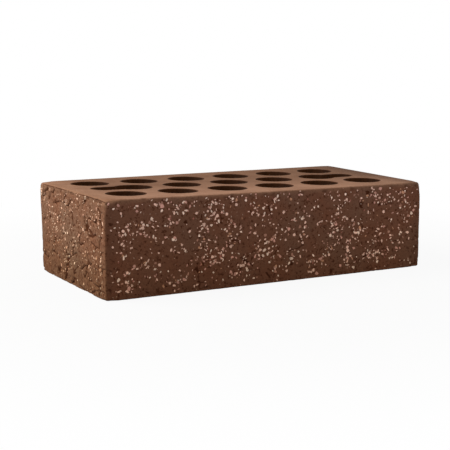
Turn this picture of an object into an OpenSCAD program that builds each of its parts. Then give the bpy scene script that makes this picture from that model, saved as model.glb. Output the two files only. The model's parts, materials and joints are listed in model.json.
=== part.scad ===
// Perforated facing brick: one fired piece of clay, extruded, bark-rolled on its faces and wire-cut.
// Origin at the middle of the lower bed, +X along the length, +Z up through the core holes.

/* [Brick] */
// Length of the stretcher face
brick_length = 250; // [200:1:300]
// Width of the header face
brick_width = 120; // [100:1:140]
// Height between the two beds
brick_height = 65; // [40:1:140]

/* [Edges] */
// Radius of the four upright corners
corner_radius = 1.5; // [0.5:0.5:6]
// Radius of the softened edges around the upper bed
upper_edge_radius = 1.5; // [0.5:0.5:6]
// Radius of the arrises around the lower bed
lower_edge_radius = 1; // [0.2:0.1:3]

/* [Core holes] */
// Diameter of the round core holes
hole_diameter = 26; // [18:0.5:30]
// Clay between the outer rows of holes and the stretcher faces
side_wall = 15; // [10:0.5:20]
// Clay between the ends of the outer rows and the header faces, before the shift
end_wall = 17; // [12:0.5:24]
// Least clay between neighbours in a row, which sets how many holes fit
least_web = 10; // [6:0.5:14]
// Width of the slots that lengthen the middle row's two end holes
end_slot_width = 17; // [10:0.5:20]
// Clay between the ends of these slots and the header faces, before the shift
end_slot_wall = 19; // [12:0.5:26]
// Shift of the whole pattern along the length, where the die's core sits off its middle
core_shift = -3; // [-4:0.5:4]

/* [Hidden] */

$fn = 64;
clay_brown = [0.42, 0.29, 0.23];

// Extra length that carries a cut or a section past the faces that it meets
past = 5;

// Holes in an outer row: as many as fit, spread evenly from end wall to end wall
row_run = brick_length - 2 * end_wall;
outer_row_count = floor((row_run + least_web) / (hole_diameter + least_web));
hole_pitch = (row_run - hole_diameter) / (outer_row_count - 1);
row_pitch = (brick_width - 2 * side_wall - hole_diameter) / 2;

// The middle row is staggered by half a pitch, so it has one round hole fewer, and a slot at each end
middle_row_count = outer_row_count - 1;
middle_row_end = (middle_row_count - 1) / 2 * hole_pitch;
end_slot_x = brick_length / 2 - end_slot_wall - end_slot_width / 2;

// Outline of the column as the die forms it, seen from above
module die_outline() {
    flat_length = brick_length - 2 * corner_radius;
    flat_width = brick_width - 2 * corner_radius;
    square([brick_length, flat_width], center = true);
    square([flat_length, brick_width], center = true);
    for (x = [-1, 1], y = [-1, 1])
        translate([x * flat_length / 2, y * flat_width / 2])
            circle(r = corner_radius);
}

// Upright section of a given width: crisp arrises below, softened edges above
module bed_to_bed_section(width) {
    half = width / 2;
    upright = brick_height - lower_edge_radius - upper_edge_radius;
    translate([-half, lower_edge_radius])
        square([width, upright]);
    translate([-half + lower_edge_radius, 0])
        square([width - 2 * lower_edge_radius, brick_height / 2]);
    translate([-half + upper_edge_radius, brick_height / 2])
        square([width - 2 * upper_edge_radius, brick_height / 2]);
    for (side = [-1, 1]) {
        translate([side * (half - lower_edge_radius), lower_edge_radius])
            circle(r = lower_edge_radius);
        translate([side * (half - upper_edge_radius), brick_height - upper_edge_radius])
            circle(r = upper_edge_radius);
    }
}

// Solid blank: the die's outline, trimmed by the sections along and across the brick
module blank() {
    intersection() {
        linear_extrude(brick_height)
            die_outline();
        rotate([90, 0, 0])
            linear_extrude(brick_width + 2 * past, center = true)
                bed_to_bed_section(brick_length);
        rotate([90, 0, 90])
            linear_extrude(brick_length + 2 * past, center = true)
                bed_to_bed_section(brick_width);
    }
}

// One core hole through both beds
module core_hole(x, y, diameter) {
    translate([x, y, -past])
        cylinder(d = diameter, h = brick_height + 2 * past);
}

// A row of round holes about the middle of the length
module hole_row(y, count) {
    for (i = [0 : count - 1])
        core_hole((i - (count - 1) / 2) * hole_pitch, y, hole_diameter);
}

// Slot with a round end, from the middle of the last round hole of the middle row towards one header
module end_slot(side) {
    translate([0, 0, -past])
        linear_extrude(brick_height + 2 * past) {
            translate([side * (middle_row_end + end_slot_x) / 2, 0])
                square([end_slot_x - middle_row_end, end_slot_width], center = true);
            translate([side * end_slot_x, 0])
                circle(d = end_slot_width);
        }
}

// All the holes as the die's core leaves them
module core() {
    hole_row(0, middle_row_count);
    for (side = [-1, 1]) {
        hole_row(side * row_pitch, outer_row_count);
        end_slot(side);
    }
}

module brick() {
    color(clay_brown)
        difference() {
            blank();
            translate([core_shift, 0, 0])
                core();
        }
}

brick();
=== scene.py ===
import json
import math
import random

import bpy
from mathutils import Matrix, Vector, noise


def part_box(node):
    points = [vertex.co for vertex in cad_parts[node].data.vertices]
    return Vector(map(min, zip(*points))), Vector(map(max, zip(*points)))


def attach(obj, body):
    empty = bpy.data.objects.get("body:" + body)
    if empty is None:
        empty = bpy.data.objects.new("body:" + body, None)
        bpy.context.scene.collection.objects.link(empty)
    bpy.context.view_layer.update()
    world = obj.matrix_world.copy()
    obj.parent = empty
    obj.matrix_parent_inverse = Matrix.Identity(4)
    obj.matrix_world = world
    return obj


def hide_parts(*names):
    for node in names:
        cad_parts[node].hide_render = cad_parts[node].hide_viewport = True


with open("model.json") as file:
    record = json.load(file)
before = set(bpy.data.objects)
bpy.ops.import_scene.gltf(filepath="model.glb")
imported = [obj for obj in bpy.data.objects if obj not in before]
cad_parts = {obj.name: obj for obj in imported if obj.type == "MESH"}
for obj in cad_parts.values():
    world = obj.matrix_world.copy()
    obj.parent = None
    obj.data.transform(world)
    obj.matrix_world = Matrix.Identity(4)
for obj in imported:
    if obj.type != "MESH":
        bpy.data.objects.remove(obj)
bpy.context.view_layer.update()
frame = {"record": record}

# The body of the brick is a column of stiff brown clay, pushed through a die that gives it its upright
# corners, cut across by wires into its two beds and fired. It starts here as a block with the die's corner
# radius, soft edges around the upper bed and crisp arrises around the lower one.
low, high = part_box("brick")
length, width, height = high - low
corner_radius = 0.0015
upper_edge_radius = 0.0015
lower_edge_radius = 0.001
edge_steps = 4

bpy.ops.object.select_all(action="DESELECT")
bpy.ops.mesh.primitive_cube_add(size=1, location=(0, 0, height / 2), scale=(length, width, height))
body = bpy.context.object
body.name = "fired_brick"
bpy.ops.object.transform_apply(location=True, rotation=True, scale=True)

edge_weights = body.data.attributes.new("bevel_weight_edge", "FLOAT", "EDGE")
for edge in body.data.edges:
    end_a, end_b = (body.data.vertices[i].co for i in edge.vertices)
    radius = upper_edge_radius if end_a.z > height / 2 else lower_edge_radius
    if abs(end_a.z - end_b.z) > height / 2:
        radius = corner_radius
    edge_weights.data[edge.index].value = radius / upper_edge_radius
rounding = body.modifiers.new("rounding", "BEVEL")
rounding.limit_method = "WEIGHT"
rounding.width = upper_edge_radius
rounding.segments = edge_steps
bpy.ops.object.modifier_apply(modifier=rounding.name)


def select_only(piece, kind, test):
    """Opens a piece in edit mode with only those of its faces or edges selected that pass the test."""
    bpy.context.view_layer.objects.active = piece
    bpy.ops.object.mode_set(mode="EDIT")
    bpy.ops.mesh.select_mode(type=kind)
    bpy.ops.mesh.select_all(action="DESELECT")
    bpy.ops.object.mode_set(mode="OBJECT")
    for part in piece.data.polygons if kind == "FACE" else piece.data.edges:
        part.select = test(part)
    bpy.ops.object.mode_set(mode="EDIT")


def lies_flat(face):
    """Whether a face lies level, as the beds and the ends of the rods do."""
    return abs(face.normal.z) > 0.999


def edge_reach(edge, axis):
    """How far an edge of the body reaches along an axis."""
    start, end = (body.data.vertices[i].co[axis] for i in edge.vertices)
    return abs(start - end)


# The beds stay open for now, so that only the four rolled faces are cut fine enough for their relief: into
# about 1.2 mm along the stretchers, and 0.7 mm along the headers and up all four.
select_only(body, "FACE", lies_flat)
bpy.ops.mesh.delete(type="FACE")
bpy.ops.object.mode_set(mode="OBJECT")
longest_step = 0.005
relief_cuts = ((0, 14), (0, 13), (1, 12), (1, 12), (2, 9), (2, 8))
for axis, cuts in relief_cuts:
    select_only(body, "EDGE", lambda edge: edge_reach(edge, axis) > longest_step)
    bpy.ops.mesh.subdivide(number_cuts=cuts)
    bpy.ops.object.mode_set(mode="OBJECT")

# The core holes are left by steel rods in the die, so their walls run straight from bed to bed, and the
# wires leave their rims ragged and a little worn. They stand in two outer rows and a staggered middle one,
# whose end holes run out towards the headers in narrower slots.
bores = [mount for mount in frame["record"]["mounts"] if mount["kind"] == "bore"]
rod_radius = bores[0]["dims"]["r_mm"] / 1000
end_rod_radius = 0.0085
rod_sides = 56
rim_wear = 0.0008
rim_angle = math.radians(60)
front_row = sorted(mount["pos_m"][0] for mount in bores if mount["pos_m"][1] < 0)
row_places = [tuple(mount["pos_m"][:2]) for mount in bores]
row_places += [((a + b) / 2, 0) for a, b in zip(front_row, front_row[1:])]
end_boxes = [opening["box_m"] for opening in frame["record"]["physics"]["openings"]]
end_places = [((near[0] + far[0]) / 2, 0) for near, far in end_boxes]


def add_rod(x, y, radius):
    """One closed rod, as long as the brick is high."""
    bpy.ops.mesh.primitive_cylinder_add(
        vertices=rod_sides, radius=radius, depth=height, location=(x, y, height / 2)
    )
    bpy.ops.object.transform_apply(location=True, rotation=True, scale=True)
    return bpy.context.object


end_slots = []
row_rods = {(x, y): add_rod(x, y, rod_radius) for x, y in row_places}
for x, y in end_places:
    beside = min(row_places, key=lambda place: math.dist(place, (x, y)))
    end_slots.append(sorted((x, beside[0])))
    end_rod = add_rod(x, y, end_rod_radius)
    for vertex in end_rod.data.vertices:
        if abs(vertex.co.x) < abs(x) - 1e-5:
            vertex.co.x += beside[0] - x
    bpy.context.view_layer.objects.active = row_rods[beside]
    joining = row_rods[beside].modifiers.new("joining", "BOOLEAN")
    joining.operation = "UNION"
    joining.object = end_rod
    bpy.ops.object.modifier_apply(modifier=joining.name)
    bpy.data.objects.remove(end_rod)
bpy.ops.object.select_all(action="DESELECT")
for rod in row_rods.values():
    rod.select_set(True)
bpy.ops.object.join()
core_walls = bpy.context.object
select_only(core_walls, "FACE", lies_flat)
bpy.ops.mesh.delete(type="ONLY_FACE")
bpy.ops.mesh.select_all(action="SELECT")
bpy.ops.mesh.flip_normals()
bpy.ops.object.mode_set(mode="OBJECT")
bpy.ops.object.select_all(action="DESELECT")
core_walls.select_set(True)
body.select_set(True)
bpy.context.view_layer.objects.active = body
bpy.ops.object.join()


def over_a_hole(point):
    """Whether a point of the bed lies inside a rod's outline."""
    if any(math.dist(place, point.xy) < end_rod_radius for place in end_places):
        return True
    if abs(point.y) < end_rod_radius and any(left < point.x < right for left, right in end_slots):
        return True
    return any(math.dist(place, point.xy) < rod_radius for place in row_places)


# Each bed is filled from its outer edge to the rims, and the fill is then taken out of the holes.
for bed in (0, height):
    corners = body.data.vertices
    select_only(body, "EDGE", lambda edge: all(abs(corners[i].co.z - bed) < 1e-5 for i in edge.vertices))
    bpy.ops.mesh.fill(use_beauty=True)
    bpy.ops.object.mode_set(mode="OBJECT")
select_only(body, "FACE", lambda face: lies_flat(face) and over_a_hole(face.center))
bpy.ops.mesh.delete(type="FACE")
bpy.ops.mesh.select_mode(type="EDGE")
bpy.ops.mesh.select_all(action="DESELECT")
bpy.ops.mesh.edges_select_sharp(sharpness=rim_angle)
bpy.ops.mesh.bevel(offset=rim_wear, segments=2, affect="EDGES")
bpy.ops.object.mode_set(mode="OBJECT")

# The four upright faces were rolled with a bark pattern while the clay was soft, and drying and fire opened
# it into uneven plates, thin cracks, sunk flakes, pits and a torn grain, all below the faces that the die
# left. The wire ran low at the right front, and handling has nicked the edges and rounded the corners.
noise.seed_set(4)
rolled_band = 0.004
plate_run = 0.014
plate_rise = 0.010
plate_sink = 0.0002
plate_waver = 0.011
plate_waver_reach = 0.0034
plate_ripple = 0.004
plate_ripple_reach = 0.0009
crack_patch = 0.009
crack_depth = 0.0007
no_crack = 0.25
flake_sink = 0.0003
pit_spacing = 0.0042
pit_waver = 0.003
pit_depth = 0.0006
grain_run = 0.0028
grain_depth = 0.00015


def ease(start, end, value):
    """Rises smoothly from 0 at start to 1 at end, or falls where start is the larger."""
    share = min(max((value - start) / (end - start), 0), 1)
    return share * share * (3 - 2 * share)


def bark_plates(point):
    """How many plates away the nearest border is, the plate's own number, and if it lies below the border."""
    warped = point + noise.noise_vector(point / plate_waver) * plate_waver_reach
    warped += noise.noise_vector(point / plate_ripple) * plate_ripple_reach
    spread = Vector((warped.x / plate_run, warped.y / plate_run, warped.z / plate_rise))
    distances, centres = noise.voronoi(spread)
    return distances[1] - distances[0], noise.cell(centres[0] * 7.3), centres[0].z < centres[1].z


def bark_depth(point):
    """How far the rolled face lies below the die's, how pitted it is, and the way to the nearest crack."""
    border, plate, below = bark_plates(point)
    on_header = abs(point.x) > length / 2 - rolled_band
    opened = noise.noise(point / crack_patch + Vector((3.1, 7.7, 1.9)))
    opened = ease(-0.28, 0.07, opened) if on_header else ease(0.10, 0.42, opened)
    gap = border + no_crack * (1 - opened)
    broken = opened if on_header else 0.5 * opened
    depth = plate_sink * (plate + 1) / 2 + crack_depth * broken * ease(0.12, 0.02, gap)
    if below:
        depth += flake_sink * broken * ease(0.7, 0.0, border)
    distances, centres = noise.voronoi(point / pit_spacing + noise.noise_vector(point / pit_waver) * 0.12)
    pit_radius = 0.06 + 0.11 * (noise.cell(centres[0] * 5.7) + 1)
    pit = ease(pit_radius, pit_radius * 0.35, distances[0])
    pit *= ease(-0.1, 0.15, noise.cell(centres[0] * 3.9))
    depth += pit_depth * pit
    depth += grain_depth * (1 + noise.noise(point / grain_run) + 0.6 * noise.noise(point / (grain_run / 2)))
    return depth, 0.55 * pit, gap


bed_sag = 0.0005
corner_dip = 0.00215
edge_lean = 0.0014


def bed_dip(point):
    """How far the wire ran low: a little slack along the middle, and most at the right front corner."""
    right = point.x / length + 0.5
    back = point.y / width + 0.5
    return 4 * bed_sag * right * (1 - right) * ease(1, 0.8, back) + corner_dip * right * (1 - back)


def left_lean(point):
    """How far the upright edge at the left back leans out, more and more towards the top."""
    rise = max(point.z / height - 0.3, 0) / 0.7
    back = point.y / width + 0.5
    return edge_lean * rise * rise * back * back * ease(0.015, 0.001, point.x + length / 2)


# Painted light and shade, as colour multipliers at the faces' feet and heads and across the beds.
stretcher_foot_shade = Vector((1.00, 0.97, 0.86))
stretcher_head_light = Vector((1.17, 1.22, 1.29))
header_foot_shade = Vector((0.96, 1.04, 0.85))
header_head_light = Vector((1.33, 1.51, 1.49))
bed_front_light = Vector((1.30, 1.31, 1.38))
bed_back_shade = Vector((0.80, 0.76, 0.73))
bed_left_light = Vector((1.15, 1.12, 1.11))


def face_painted_light(point, header_share):
    """Painted light: faces lighter towards the top, most on the headers; painted shade at the stretchers'
    ends.
    """
    rise = point.z / height
    on_stretcher = stretcher_foot_shade.lerp(stretcher_head_light, rise)
    on_stretcher *= 1 - 0.15 * ease(0.012, 0.002, length / 2 - abs(point.x))
    on_header = header_foot_shade.lerp(header_head_light, ease(0, 0.8, rise))
    return on_stretcher.lerp(on_header, header_share)


def bed_painted_light(point):
    """Painted light on the beds: palest at the front and left end, with painted shade to the back and right.
    """
    back = point.y / width + 0.5
    right = point.x / length + 0.5
    tone = bed_front_light.lerp(bed_back_shade, ease(0, 0.62, back))
    tone = tone.lerp(bed_left_light, ease(0.12, 0.02, right))
    return tone * (1 - 0.15 * ease(0.70, 0.95, right) - 0.3 * ease(0.92, 1.0, right))


def core_painted_light(facing):
    """Painted light on the hole walls: painted shade where they face the lamp at the left, lighter facing
    away.
    """
    return Vector((1, 1, 1)) * (1.2 + 0.75 * facing.x)


half = Vector((length, width, height)) / 2
middle = Vector((0, 0, height / 2))


def beyond(point, inset):
    """The shortest way out to a point from the brick's box taken in by an inset on every side."""
    inner_half = half - Vector.Fill(3, inset)
    return Vector(part - min(max(part, -reach), reach) for part, reach in zip(point - middle, inner_half))


# The wear of each upper corner goes by its side in x and in y, and the lower corners have half of it.
corner_wear = {(-1, -1): 0.0032, (1, -1): 0.0016, (-1, 1): 0.0020, (1, 1): 0.0008}
corner_reach = 0.012
rim_run = 0.0045
bed_margin = 0.0022
nick_run = 0.005
nick_reach = 0.003
nick_depth = 0.0007
lip_run = 0.02
lip_depth = 0.0004
rub_run = 0.004
# The first mask is painted shade for the cracks, pits, nicks and the lip crease.
painted_crack_shade = []
scorched = []
crack_way = []
bedward = []
fired = []
moves = []
for vertex in body.data.vertices:
    spot = vertex.co.copy()
    sag = Vector((-left_lean(spot), 0, -bed_dip(spot) * ease(height / 2, height, spot.z)))
    from_bed = min(spot.z, height - spot.z)
    if abs(spot.x) <= length / 2 - rolled_band and abs(spot.y) <= width / 2 - rolled_band:
        ragged = noise.noise_vector(Vector((spot.x, spot.y, round(spot.z / height))) / rim_run)
        ragged *= rim_wear / 2 * ease(0.002, 0.001, from_bed)
        moves.append(sag + Vector((ragged.x, ragged.y, 0)))
        painted_crack_shade.append(0)
        scorched.append(0)
        crack_way.append(no_crack)
        bedward.append(1)
        fired += (*(core_painted_light(vertex.normal) if from_bed > rim_wear * 0.6 else bed_painted_light(spot)), 1)
        continue

    depth, pitted, gap = bark_depth(spot)
    header_share = abs(vertex.normal.x)
    from_corner = max(length / 2 - abs(spot.x), width / 2 - abs(spot.y))
    from_top = height - spot.z
    fade = ease(0, bed_margin, from_top) * ease(-0.0008, 0.0012, spot.z)
    fade *= ease(-0.0015, 0.0040, from_corner)
    nick = 0
    if from_bed < nick_reach:
        nick = ease(0.24, 0.5, noise.noise(spot / nick_run)) * ease(0, 0.0006, from_bed)
    # The lip is a shallow crease under the headers' upper edges, with painted shade in it.
    lip = 0
    if 0.4 < from_top / upper_edge_radius < 0.8 and abs(spot.x) > length / 2 - upper_edge_radius:
        lip = ease(-0.5, -0.1, noise.noise(spot / lip_run + Vector((5.5, 1.3, 0))))
    sunk = depth * fade + nick_depth * nick + lip_depth * lip

    side = (math.copysign(1, spot.x), math.copysign(1, spot.y))
    upper = spot.z > height / 2
    corner = Vector((side[0] * length / 2, side[1] * width / 2, height if upper else 0))
    to_corner = (corner - spot).length
    edge_radius = upper_edge_radius if upper else lower_edge_radius
    wear = corner_wear[side] if upper else corner_wear[side] / 2
    worn_radius = edge_radius + wear * ease(corner_reach, 0.003, to_corner)
    over = beyond(spot, worn_radius)
    worn = over * (1 - min(worn_radius / max(over.length, 0.0001), 1))
    moves.append(sag - vertex.normal * sunk - worn)

    rubbed = from_top + 0.0005 * noise.noise(spot / rub_run) - 0.0011 * ease(0.024, 0.004, to_corner)
    tail = 0.5 + 0.15 * header_share
    paled = max(ease(0.0010, 0.0003, rubbed), tail * ease(0.0042, 0.0008, rubbed), ease(0.0003, 0, spot.z))
    if upper:
        paled = max(paled, ease(0.28 * wear, 0.42 * wear, worn.length))
    # Painted shade darkens the pits, the nicks and the lip crease.
    painted_crack_shade.append(max(pitted * fade, 0.4 * nick, lip))
    scorched.append(header_share)
    crack_way.append(gap + no_crack * (1 - fade))
    bedward.append(paled)
    fired += (*face_painted_light(spot, header_share).lerp(bed_painted_light(spot), paled), 1)
for vertex, move in zip(body.data.vertices, moves):
    vertex.co += move

masks = {"painted_crack_shade": painted_crack_shade, "scorched": scorched, "crack_way": crack_way, "bedward": bedward}
for name, values in masks.items():
    body.data.attributes.new(name, "FLOAT", "POINT").data.foreach_set("value", values)
# These tones are painted light and shade, multiplied into the clay's colour.
body.data.color_attributes.new("fired", "FLOAT_COLOR", "POINT").data.foreach_set("color", fired)
in_core = []
for face in body.data.polygons:
    from_side = min(length / 2 - abs(face.center.x), width / 2 - abs(face.center.y))
    in_core.append(from_side > 0.005 and abs(face.normal.z) < 0.95)
body.data.attributes.new("in_core", "FLOAT", "FACE").data.foreach_set("value", in_core)

# The worn edges are shaded round, and the flat of each bed stays crisp against them.
bpy.ops.object.select_all(action="DESELECT")
body.select_set(True)
bpy.context.view_layer.objects.active = body
bpy.ops.object.shade_smooth_by_angle(angle=math.radians(40))
flat_x = length / 2 - upper_edge_radius * 0.9
flat_y = width / 2 - upper_edge_radius * 0.9


def in_flat_of_bed(face):
    """Whether a face is part of a bed's flat, inside its rounded edge."""
    return abs(face.normal.z) > 0.99 and abs(face.center.x) < flat_x and abs(face.center.y) < flat_y


select_only(body, "FACE", in_flat_of_bed)
bpy.ops.mesh.region_to_loop()
bpy.ops.mesh.mark_sharp()
bpy.ops.object.mode_set(mode="OBJECT")

# Fired clay is dull and a little sandy. The rolled faces are a dark chocolate brown that wanders towards red
# and olive, with pale specks and scorches, and painted shade as dark lines in the cracks and darkening in the
# pits, nicks and lip crease. The wire-cut beds show the paler brown of the body with faint drag lines, and
# the core walls are coloured far darker than the beds and streaked along the rods' way.
rolled_brown = (0.128, 0.0535, 0.0305, 1)
rolled_red = (0.127, 0.0485, 0.0262, 1)
rolled_olive = (0.123, 0.0570, 0.0345, 1)
crack_shade_brown = (0.046, 0.0112, 0.0030, 1)
scorch_brown = (0.062, 0.0188, 0.0078, 1)
bed_brown = (0.157, 0.080, 0.046, 1)
bed_pale = (0.192, 0.103, 0.061, 1)
core_brown = (0.030, 0.0092, 0.0018, 1)
core_streak = (0.043, 0.0135, 0.0030, 1)
speck_cream = (0.42, 0.27, 0.20, 1)
sand_dark = (0.92, 0.92, 0.92, 1)
sand_pale = (1.08, 1.08, 1.08, 1)
crumble_reach = (0.0022, 0.0022, 0.0022)
drag_stretch = (1.0, 0.08, 1.0)
draw_stretch = (1.0, 1.0, 0.05)
header_scorch = 0.04


def add_node(material, kind, settings, inputs):
    """Adds a shader node, with its settings, and gives its inputs their values or links."""
    made = material.node_tree.nodes.new(kind)
    for name, value in settings.items():
        setattr(made, name, value)
    for name, value in inputs.items():
        if isinstance(value, bpy.types.NodeSocket):
            material.node_tree.links.new(value, made.inputs[name])
        else:
            made.inputs[name].default_value = value
    return made


def pattern(material, kind, place, size, **settings):
    """A noise or cell texture whose features are about as large as size, in metres."""
    return add_node(material, kind, {}, {"Vector": place, "Scale": 1 / size, **settings})


def stretched(material, place, scale):
    """Coordinates scaled along each axis, so that a pattern on them is drawn out where the scale is small."""
    return add_node(material, "ShaderNodeMapping", {}, {"Vector": place, "Scale": scale}).outputs["Vector"]


def blend(material, share, first, second, mode="MIX"):
    """The colour between two colours, or the first with the second laid over it in another mode."""
    settings = {"data_type": "RGBA", "blend_type": mode}
    return add_node(material, "ShaderNodeMix", settings, {0: share, 6: first, 7: second}).outputs[2]


def reckon(material, operation, *values):
    """The result of one step of arithmetic on values or links."""
    settings = {"operation": operation}
    return add_node(material, "ShaderNodeMath", settings, dict(enumerate(values))).outputs["Value"]


def limit(material, value, low_in, high_in, low_out=0.0, high_out=1.0):
    """A value taken from one range to another and held there."""
    ranged = add_node(
        material,
        "ShaderNodeMapRange",
        {"interpolation_type": "SMOOTHSTEP"},
        {"Value": value, "From Min": low_in, "From Max": high_in, "To Min": low_out, "To Max": high_out},
    )
    return ranged.outputs["Result"]


def start_finish(name, roughness):
    """A new node material with one matt shader and its object coordinates."""
    material = bpy.data.materials.new(name)
    material.use_nodes = True
    shader = material.node_tree.nodes["Principled BSDF"]
    shader.inputs["Roughness"].default_value = roughness
    shader.inputs["Specular IOR Level"].default_value = 0.1
    place = add_node(material, "ShaderNodeTexCoord", {}, {}).outputs["Object"]
    return material, shader, place


def read_mesh(material, name, output="Fac"):
    """A mask that the mesh carries, or a colour."""
    return add_node(material, "ShaderNodeAttribute", {"attribute_name": name}, {}).outputs[output]


clay, shader, place = start_finish("fired_clay", 0.95)
patches = pattern(clay, "ShaderNodeTexNoise", place, 0.016, Detail=3.0).outputs["Fac"]
drift = pattern(clay, "ShaderNodeTexNoise", place, 0.045, Detail=2.0).outputs["Fac"]
sand = pattern(clay, "ShaderNodeTexNoise", place, 0.0011, Detail=2.0).outputs["Fac"]
rolled = blend(clay, limit(clay, patches, 0.43, 0.65), rolled_brown, rolled_red)
rolled = blend(clay, limit(clay, drift, 0.5, 0.7), rolled, rolled_olive)

# Specks and scorches have crumbled outlines.
waver = pattern(clay, "ShaderNodeTexNoise", place, 0.0013, Detail=1.0).outputs["Color"]
crumbled = add_node(
    clay,
    "ShaderNodeVectorMath",
    {"operation": "MULTIPLY_ADD"},
    {0: waver, 1: crumble_reach, 2: place},
).outputs["Vector"]
specks = pattern(clay, "ShaderNodeTexVoronoi", crumbled, 0.0022)
speck_spots = limit(clay, specks.outputs["Distance"], 0.22, 0.08)
speck_tint = add_node(clay, "ShaderNodeSeparateColor", {}, {"Color": specks.outputs["Color"]})
speck_choice = limit(clay, speck_tint.outputs["Red"], 0.80, 0.86)
rolled = blend(clay, reckon(clay, "MULTIPLY", speck_spots, speck_choice), rolled, speck_cream)
scorches = pattern(clay, "ShaderNodeTexNoise", crumbled, 0.0020, Detail=2.0, Roughness=0.6).outputs["Fac"]
scorches = reckon(clay, "MULTIPLY_ADD", read_mesh(clay, "scorched"), header_scorch, scorches)
rolled = blend(clay, limit(clay, scorches, 0.555, 0.665), rolled, scorch_brown)

bed = blend(clay, limit(clay, patches, 0.35, 0.65), bed_brown, bed_pale)
dragged = stretched(clay, place, drag_stretch)
drag = pattern(clay, "ShaderNodeTexNoise", dragged, 0.0013, Detail=2.0).outputs["Fac"]
bed = blend(clay, limit(clay, drag, 0.25, 0.75, 0.0, 0.5), bed, bed_brown)
drawn = stretched(clay, place, draw_stretch)
draw = pattern(clay, "ShaderNodeTexNoise", drawn, 0.0018, Detail=3.0).outputs["Fac"]
core = blend(clay, limit(clay, draw, 0.35, 0.7), core_brown, core_streak)

colour = blend(clay, read_mesh(clay, "bedward"), rolled, bed)
# Painted shade: the pits, nicks and lip crease, and thin lines along the cracks, are darkened to crack brown.
colour = blend(clay, read_mesh(clay, "painted_crack_shade"), colour, crack_shade_brown)
colour = blend(clay, limit(clay, read_mesh(clay, "crack_way"), 0.08, 0.03), colour, crack_shade_brown)
colour = blend(clay, read_mesh(clay, "in_core"), colour, core)
shades = blend(clay, limit(clay, sand, 0.3, 0.7), sand_dark, sand_pale)
colour = blend(clay, 1.0, colour, shades, "MULTIPLY")
# The painted light and shade carried by the mesh multiplies the whole colour.
colour = blend(clay, 1.0, colour, read_mesh(clay, "fired", "Color"), "MULTIPLY")
clay.node_tree.links.new(colour, shader.inputs["Base Color"])
drag_share = limit(clay, read_mesh(clay, "bedward"), 0.0, 1.0, 0.0, 0.6)
grit = add_node(clay, "ShaderNodeMix", {"data_type": "FLOAT"}, {0: drag_share, 2: sand, 3: drag}).outputs[0]
gritty = add_node(clay, "ShaderNodeBump", {}, {"Strength": 0.55, "Distance": 0.0004, "Height": grit})
clay.node_tree.links.new(gritty.outputs["Normal"], shader.inputs["Normal"])
body.data.materials.append(clay)
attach(body, "root")
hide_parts("brick")

# The chips are crushed pale fireclay and feldspar, strewn on the wet column and pressed in by the rollers, so
# each is a flat-topped flake sunk almost flush in the face. They gather in chains along the plate borders and
# leave bare clay between. On the headers they are finer and painted darker towards tan, as shade against the
# stronger light there, and every chip takes the painted light and shade of the face beneath it.
random.seed(11)
chip_corners = 6
chip_shapes = 16
chip_least = 0.0007
chip_most = 0.0030
chip_spread = 0.40
chip_thick = 0.0009
chip_proud = 0.00016
chain_run = 0.015
chip_pink = (0.82, 0.52, 0.41)
chip_cream = (0.90, 0.66, 0.53)
chip_salmon = (0.62, 0.32, 0.25)
chip_brown = (0.40, 0.20, 0.14)
chip_ochre = (0.54, 0.27, 0.16)
chip_red = (0.32, 0.12, 0.085)
chip_shares = {chip_pink: 45, chip_cream: 17, chip_salmon: 16, chip_brown: 13, chip_ochre: 6, chip_red: 3}
chip_tan_shade = Vector((0.45, 0.21, 0.125))
stretcher_chips = {
    "per_area": 75000,
    "middle": 0.00172,
    "tan_shade": 0.0,
    "bare_end": 0.018,
    "bare_foot": 0.012,
}
header_chips = {
    "per_area": 56000,
    "middle": 0.00122,
    "tan_shade": 0.55,
    "bare_end": 0.007,
    "bare_foot": 0.030,
}

shapes = []
for seed in range(chip_shapes):
    bpy.ops.object.select_all(action="DESELECT")
    bpy.ops.mesh.primitive_cylinder_add(vertices=chip_corners, radius=0.5, depth=1, location=(0, 0, -0.5))
    bpy.ops.object.transform_apply(location=True, rotation=True, scale=True)
    shape = bpy.context.object
    select_only(shape, "FACE", lambda face: face.normal.z > 0.9)
    bpy.ops.transform.resize(value=(0.84, 0.84, 1))
    bpy.ops.mesh.select_all(action="SELECT")
    bpy.ops.transform.vertex_random(offset=0.24, seed=seed)
    bpy.ops.object.mode_set(mode="OBJECT")
    shapes.append((
        [vertex.co.copy() for vertex in shape.data.vertices],
        [tuple(face.vertices) for face in shape.data.polygons],
    ))
    bpy.data.objects.remove(shape)

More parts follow.
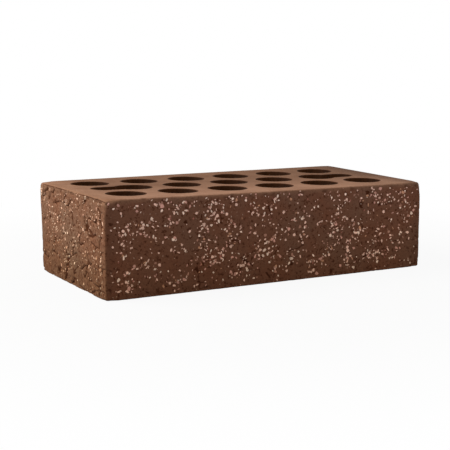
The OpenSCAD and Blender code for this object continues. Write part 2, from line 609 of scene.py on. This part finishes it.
chip_points = []
chip_faces = []
chip_colours = []
for outward in (Vector((0, -1, 0)), Vector((0, 1, 0)), Vector((-1, 0, 0)), Vector((1, 0, 0))):
    strewn = header_chips if outward.x else stretcher_chips
    along = Vector((0, 0, 1)).cross(outward)
    run = abs(along.x) * length + abs(along.y) * width
    face_place = outward * (abs(outward.x) * length + abs(outward.y) * width) / 2
    wanted = int(run * height * strewn["per_area"])
    while wanted:
        size = random.lognormvariate(math.log(strewn["middle"]), chip_spread)
        size = min(max(size, chip_least), chip_most)
        spot = face_place + along * random.uniform(-0.5, 0.5) * (run - size)
        spot.z = random.uniform(size * 0.6, height - bed_dip(spot) - upper_edge_radius / 2 - size * 0.3)
        gathered = 0.2 + 0.8 * ease(-0.22, 0.22, noise.noise(spot / chain_run))
        gathered *= 0.35 + 0.65 * ease(0.5, 0.05, bark_plates(spot)[0])
        gathered *= 0.1 + 0.9 * ease(0, strewn["bare_end"], run / 2 - abs(spot.dot(along)))
        gathered *= 0.2 + 0.8 * ease(0.002, strewn["bare_foot"], spot.z)
        if random.random() > gathered:
            continue

        wanted -= 1
        seat = body.closest_point_on_mesh(spot)[1]
        facing = beyond(seat, upper_edge_radius).normalized()
        slim = random.uniform(0.35, 0.9)
        turn = random.uniform(0, math.tau)
        across = facing.orthogonal().normalized()
        long_way = across * math.cos(turn) + facing.cross(across) * math.sin(turn)
        short_way = facing.cross(long_way)
        points, faces = random.choice(shapes)
        proud = seat + facing * chip_proud * random.uniform(0.6, 1.4)
        start = len(chip_points)
        for point in points:
            spread = proud + long_way * point.x * size + short_way * point.y * size * slim
            chip_points.append(spread + facing * point.z * chip_thick)
        chip_faces += [tuple(start + i for i in face) for face in faces]
        tone = Vector(random.choices(list(chip_shares), list(chip_shares.values()))[0])
        # Header chips are painted darker towards tan as shade, and all chips take the face's painted light.
        tone = tone.lerp(chip_tan_shade, strewn["tan_shade"]) * random.uniform(0.72, 1.05)
        tone *= face_painted_light(seat, abs(outward.x))
        chip_colours += (*tone, 1) * len(points)

chips_mesh = bpy.data.meshes.new("mineral_chips")
chips_mesh.from_pydata(chip_points, [], chip_faces)
tones = chips_mesh.color_attributes.new("chip_tone", "FLOAT_COLOR", "POINT")
tones.data.foreach_set("color", chip_colours)
chips = bpy.data.objects.new("mineral_chips", chips_mesh)
bpy.context.scene.collection.objects.link(chips)

vein_dark = (0.80, 0.76, 0.74, 1)
vein_pale = (1.05, 1.05, 1.05, 1)
stone, shader, place = start_finish("chip_stone", 0.7)
grain = pattern(stone, "ShaderNodeTexNoise", place, 0.0006, Detail=2.0).outputs["Fac"]
veins = blend(stone, limit(stone, grain, 0.3, 0.7), vein_dark, vein_pale)
colour = blend(stone, 1.0, read_mesh(stone, "chip_tone", "Color"), veins, "MULTIPLY")
stone.node_tree.links.new(colour, shader.inputs["Base Color"])
chips_mesh.materials.append(stone)
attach(chips, "root")

# The floor is a wide sheet of white paper that runs out of sight. To the camera it is white, with the
# brick's shadow left in it near the brick.
floor_size = 12
paper_grey = (0.35, 0.35, 0.35, 1)
pure_white = (1, 1, 1, 1)
shadow_share = 0.07
shadow_near = 0.14
shadow_reach = 0.42
bpy.ops.object.select_all(action="DESELECT")
bpy.ops.mesh.primitive_plane_add(size=floor_size)
floor = bpy.context.object
floor.name = "floor"


def seen_directly(material):
    """1 for rays from the camera, also by way of gloss or glass, and 0 for the light on other things."""
    path = add_node(material, "ShaderNodeLightPath", {}, {})
    seen = path.outputs["Is Camera Ray"]
    for name in ("Is Glossy Ray", "Is Transmission Ray"):
        seen = reckon(material, "MAXIMUM", seen, path.outputs[name])
    return seen


paper, shader, place = start_finish("floor_paper", 0.9)
shader.inputs["Base Color"].default_value = paper_grey
distance = add_node(paper, "ShaderNodeVectorMath", {"operation": "LENGTH"}, {0: place}).outputs["Value"]
whiteness = limit(paper, distance, shadow_near, shadow_reach, 1 - shadow_share, 1.0)
whiteness = reckon(paper, "MULTIPLY", whiteness, seen_directly(paper))
white = add_node(paper, "ShaderNodeEmission", {}, {"Color": pure_white, "Strength": 1.0})
surface = add_node(
    paper,
    "ShaderNodeMixShader",
    {},
    {0: whiteness, 1: shader.outputs["BSDF"], 2: white.outputs["Emission"]},
)
output = paper.node_tree.nodes["Material Output"]
paper.node_tree.links.new(surface.outputs["Shader"], output.inputs["Surface"])
floor.data.materials.append(paper)

# The studio is an even white room, with one large soft lamp high on the left and a little behind the brick,
# so that the header and the upper bed are bright and the long front face lies in its own shade. A small
# white card on the right lifts that end of the front face.
room_light = 0.62
room_tint = (1.0, 0.95, 0.93, 1)
lamp_tint = (1.0, 1.0, 0.96)
lamp_direction = Vector((-0.66, 0.28, 0.70)).normalized()
lamp_distance = 1.2
lamp_size = 0.7
lamp_power = 20
card_place = Vector((0.38, -0.36, 0.12))
card_size = 0.25
card_power = 0.32
world = bpy.data.worlds.new("studio")
bpy.context.scene.world = world
world.use_nodes = True
room = world.node_tree.nodes["Background"]
seen = seen_directly(world)
strength = add_node(world, "ShaderNodeMapRange", {}, {"Value": seen, "To Min": room_light, "To Max": 1.0})
world.node_tree.links.new(strength.outputs["Result"], room.inputs["Strength"])
world.node_tree.links.new(blend(world, seen, room_tint, pure_white), room.inputs["Color"])
for name, spot, size, power in (
    ("soft_lamp", lamp_direction * lamp_distance, lamp_size, lamp_power),
    ("white_card", card_place, card_size, card_power),
):
    lamp_data = bpy.data.lights.new(name, "AREA")
    lamp_data.size = size
    lamp_data.energy = power
    lamp_data.color = lamp_tint
    lamp = bpy.data.objects.new(name, lamp_data)
    bpy.context.scene.collection.objects.link(lamp)
    lamp.location = spot
    lamp.rotation_euler = spot.to_track_quat("Z", "Y").to_euler()

# The camera stands to the left of the front face and a little above the brick, at the photograph's angle,
# and its long lens gives the same frame.
image_width = 450
focal_pixels = 1055.1
camera_place = (-0.37192, -0.66608, 0.14883)
camera_turn = (81.303, 0.039, -28.767)
camera_data = bpy.data.cameras.new("camera")
camera_data.sensor_width = 36
camera_data.lens = focal_pixels / image_width * camera_data.sensor_width
camera = bpy.data.objects.new("camera", camera_data)
camera.location = camera_place
camera.rotation_euler = [math.radians(angle) for angle in camera_turn]
bpy.context.scene.collection.objects.link(camera)
bpy.context.scene.camera = camera
bpy.context.scene.view_settings.view_transform = "Standard"
